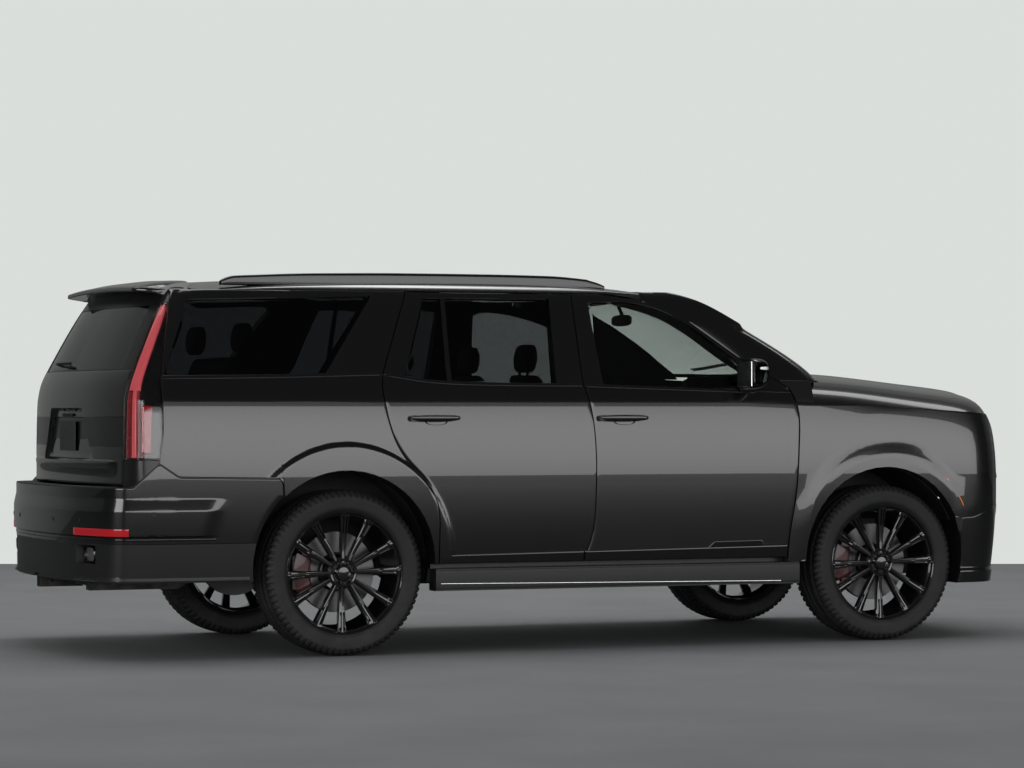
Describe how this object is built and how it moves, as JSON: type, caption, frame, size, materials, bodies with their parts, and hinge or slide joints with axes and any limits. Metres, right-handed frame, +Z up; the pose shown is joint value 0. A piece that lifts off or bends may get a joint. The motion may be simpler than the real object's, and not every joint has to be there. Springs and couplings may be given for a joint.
{
  "type": "full-size sport utility vehicle",
  "caption": "Full-size sport utility vehicle with hinged doors, hood and tailgate, steered front wheels and free-turning road wheels.",
  "frame": {"origin": "on the ground, under the middle of the overall length and width", "axes": "+X to the nose, +Y to the vehicle's left side, +Z up"},
  "size_m": [5.382, 2.36, 1.948],
  "materials": {
    "paint": "deep gloss black",
    "black_glass": "dark tinted privacy glass",
    "clear_glass": "lightly tinted glass",
    "gloss_trim": "gloss black",
    "matte_trim": "grained black",
    "lamp_clear": "clear lens",
    "lamp_red": "red lens",
    "steel": "black coated steel",
    "knuckle_iron": "cast, with a dark red caliper",
    "exhaust_steel": "satin",
    "engine_metal": "cast",
    "carpet": "loop carpet over sheet steel",
    "seat_leather": "perforated black leather",
    "wheel_leather": "smooth black leather",
    "tyre": "black rubber",
    "rim_black": "gloss black cast wheel"
  },
  "bodies": {
    "body": {"frame_rails": "steel", "floor_pan": "carpet", "body_side_left": "paint", "body_side_right": "paint", "roof_panel": "paint", "windscreen": "clear_glass", "quarter_glass": "black_glass", "fender_left": "paint", "fender_right": "paint", "front_bumper": "paint", "grille": "gloss_trim", "headlamps": "lamp_clear", "rear_bumper": "paint", "tail_lamps": "lamp_red", "roof_rails": "gloss_trim", "running_boards": "matte_trim", "dashboard": "matte_trim", "steering_wheel": "wheel_leather", "seats": "seat_leather", "rear_bench": "seat_leather", "engine_block": "engine_metal", "front_suspension": "steel", "rear_axle": "steel", "exhaust": "exhaust_steel", "wheel_liners": "matte_trim"},
    "hood": {"hood": "paint"},
    "tailgate": {"tailgate": "paint", "tailgate_glass": "black_glass"},
    "door_front_left": {"door_front_left": "paint", "door_glass_front_left": "clear_glass", "mirror_left": "gloss_trim"},
    "door_front_right": {"door_front_right": "paint", "door_glass_front_right": "clear_glass", "mirror_right": "gloss_trim"},
    "door_rear_left": {"door_rear_left": "paint", "door_glass_rear_left": "black_glass"},
    "door_rear_right": {"door_rear_right": "paint", "door_glass_rear_right": "black_glass"},
    "knuckle_left": {"knuckle_left": "knuckle_iron"},
    "knuckle_right": {"knuckle_right": "knuckle_iron"},
    "wheel_front_left": {"tyre_front_left": "tyre", "rim_front_left": "rim_black"},
    "wheel_front_right": {"tyre_front_right": "tyre", "rim_front_right": "rim_black"},
    "wheel_rear_left": {"tyre_rear_left": "tyre", "rim_rear_left": "rim_black"},
    "wheel_rear_right": {"tyre_rear_right": "tyre", "rim_rear_right": "rim_black"}
  },
  "joints": [
    {"name": "hinge_door_front_left", "type": "hinge", "parent": "body", "child": "door_front_left", "pos_m": [1.124, 1.0135, 0.885], "axis": [0, 0, -1], "range_deg": [0, 65]},
    {"name": "hinge_door_front_right", "type": "hinge", "parent": "body", "child": "door_front_right", "pos_m": [1.124, -1.0135, 0.885], "axis": [0, 0, 1], "range_deg": [0, 65]},
    {"name": "hinge_door_rear_left", "type": "hinge", "parent": "body", "child": "door_rear_left", "pos_m": [-0.057, 1.0135, 0.885], "axis": [0, 0, -1], "range_deg": [0, 68]},
    {"name": "hinge_door_rear_right", "type": "hinge", "parent": "body", "child": "door_rear_right", "pos_m": [-0.057, -1.0135, 0.885], "axis": [0, 0, 1], "range_deg": [0, 68]},
    {"name": "hinge_hood", "type": "hinge", "parent": "body", "child": "hood", "pos_m": [1.38, 0, 1.4], "axis": [0, -1, 0], "range_deg": [0, 50]},
    {"name": "hinge_tailgate", "type": "hinge", "parent": "body", "child": "tailgate", "pos_m": [-2.106, 0, 1.88], "axis": [0, 1, 0], "range_deg": [0, 82]},
    {"name": "steer_left", "type": "hinge", "parent": "body", "child": "knuckle_left", "pos_m": [1.71, 0.829, 0.419], "axis": [0, 0, 1], "range_deg": [-33, 33]},
    {"name": "steer_right", "type": "hinge", "parent": "body", "child": "knuckle_right", "pos_m": [1.71, -0.829, 0.419], "axis": [0, 0, 1], "range_deg": [-33, 33]},
    {"name": "spin_wheel_front_left", "type": "hinge", "parent": "knuckle_left", "child": "wheel_front_left", "pos_m": [1.71, 0.869, 0.419], "axis": [0, 1, 0], "continuous": true},
    {"name": "spin_wheel_front_right", "type": "hinge", "parent": "knuckle_right", "child": "wheel_front_right", "pos_m": [1.71, -0.869, 0.419], "axis": [0, 1, 0], "continuous": true},
    {"name": "spin_wheel_rear_left", "type": "hinge", "parent": "body", "child": "wheel_rear_left", "pos_m": [-1.361, 0.869, 0.419], "axis": [0, 1, 0], "continuous": true},
    {"name": "spin_wheel_rear_right", "type": "hinge", "parent": "body", "child": "wheel_rear_right", "pos_m": [-1.361, -0.869, 0.419], "axis": [0, 1, 0], "continuous": true}
  ],
  "couplings": [
    {"joint": "steer_right", "follows": "steer_left", "ratio": 1}
  ]
}
